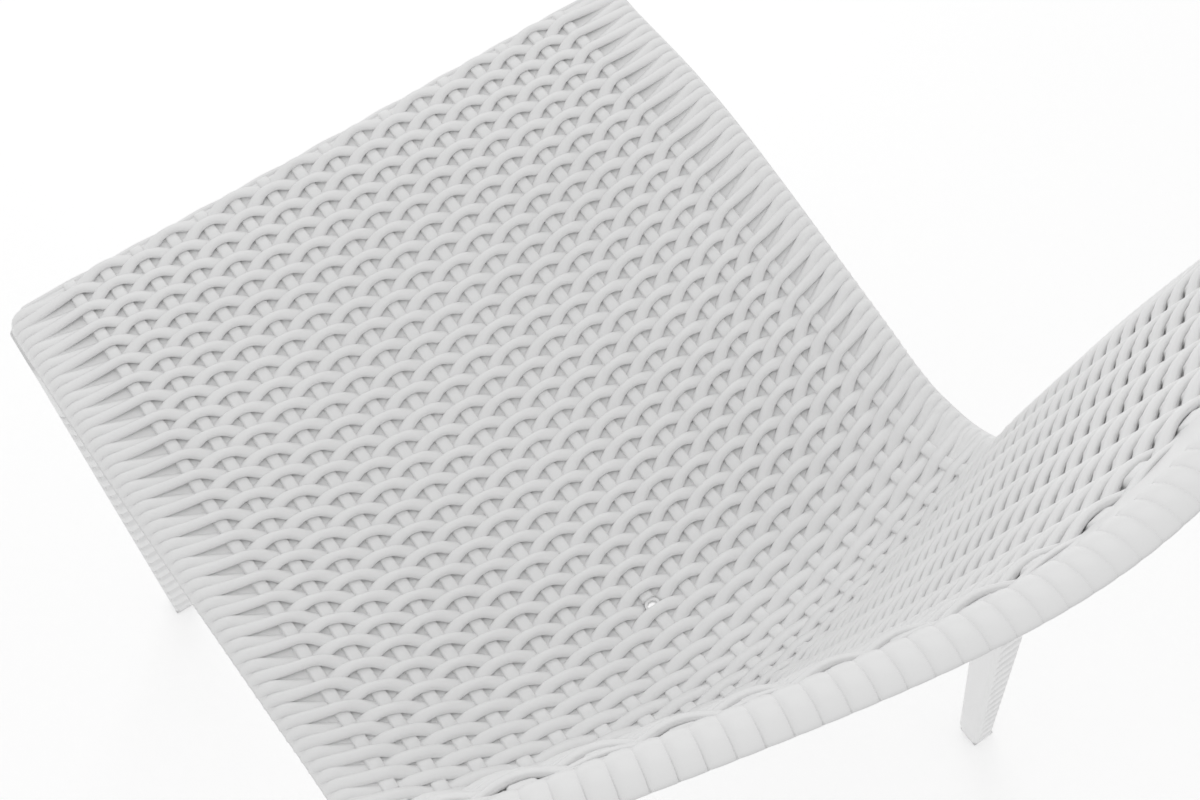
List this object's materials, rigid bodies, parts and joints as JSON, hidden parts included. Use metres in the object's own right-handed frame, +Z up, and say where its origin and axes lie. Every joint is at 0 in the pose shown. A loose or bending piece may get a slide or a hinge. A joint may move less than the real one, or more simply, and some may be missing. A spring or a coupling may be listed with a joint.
{
  "type": "garden side chair",
  "caption": "Armless moulded-resin garden chair: one-piece woven-relief seat and curved back on slim tapered legs with pressed-in foot glides.",
  "frame": {"origin": "centre of the bounding box's underside, on the floor", "axes": "+Z up, +Y from the front edge of the seat to the back, +X to the sitter's left"},
  "size_m": [0.48, 0.5447, 0.866],
  "materials": {
    "shell": "satin moulded resin",
    "leg": "satin moulded resin",
    "glide": "matt nylon",
    "screw": "stainless steel"
  },
  "bodies": {
    "root": {"seat_back_shell": "shell", "front_left_leg": "leg", "front_right_leg": "leg", "rear_left_leg": "leg", "rear_right_leg": "leg", "front_left_glide": "glide", "front_right_glide": "glide", "rear_left_glide": "glide", "rear_right_glide": "glide", "leg_screws": "screw"}
  },
  "joints": []
}
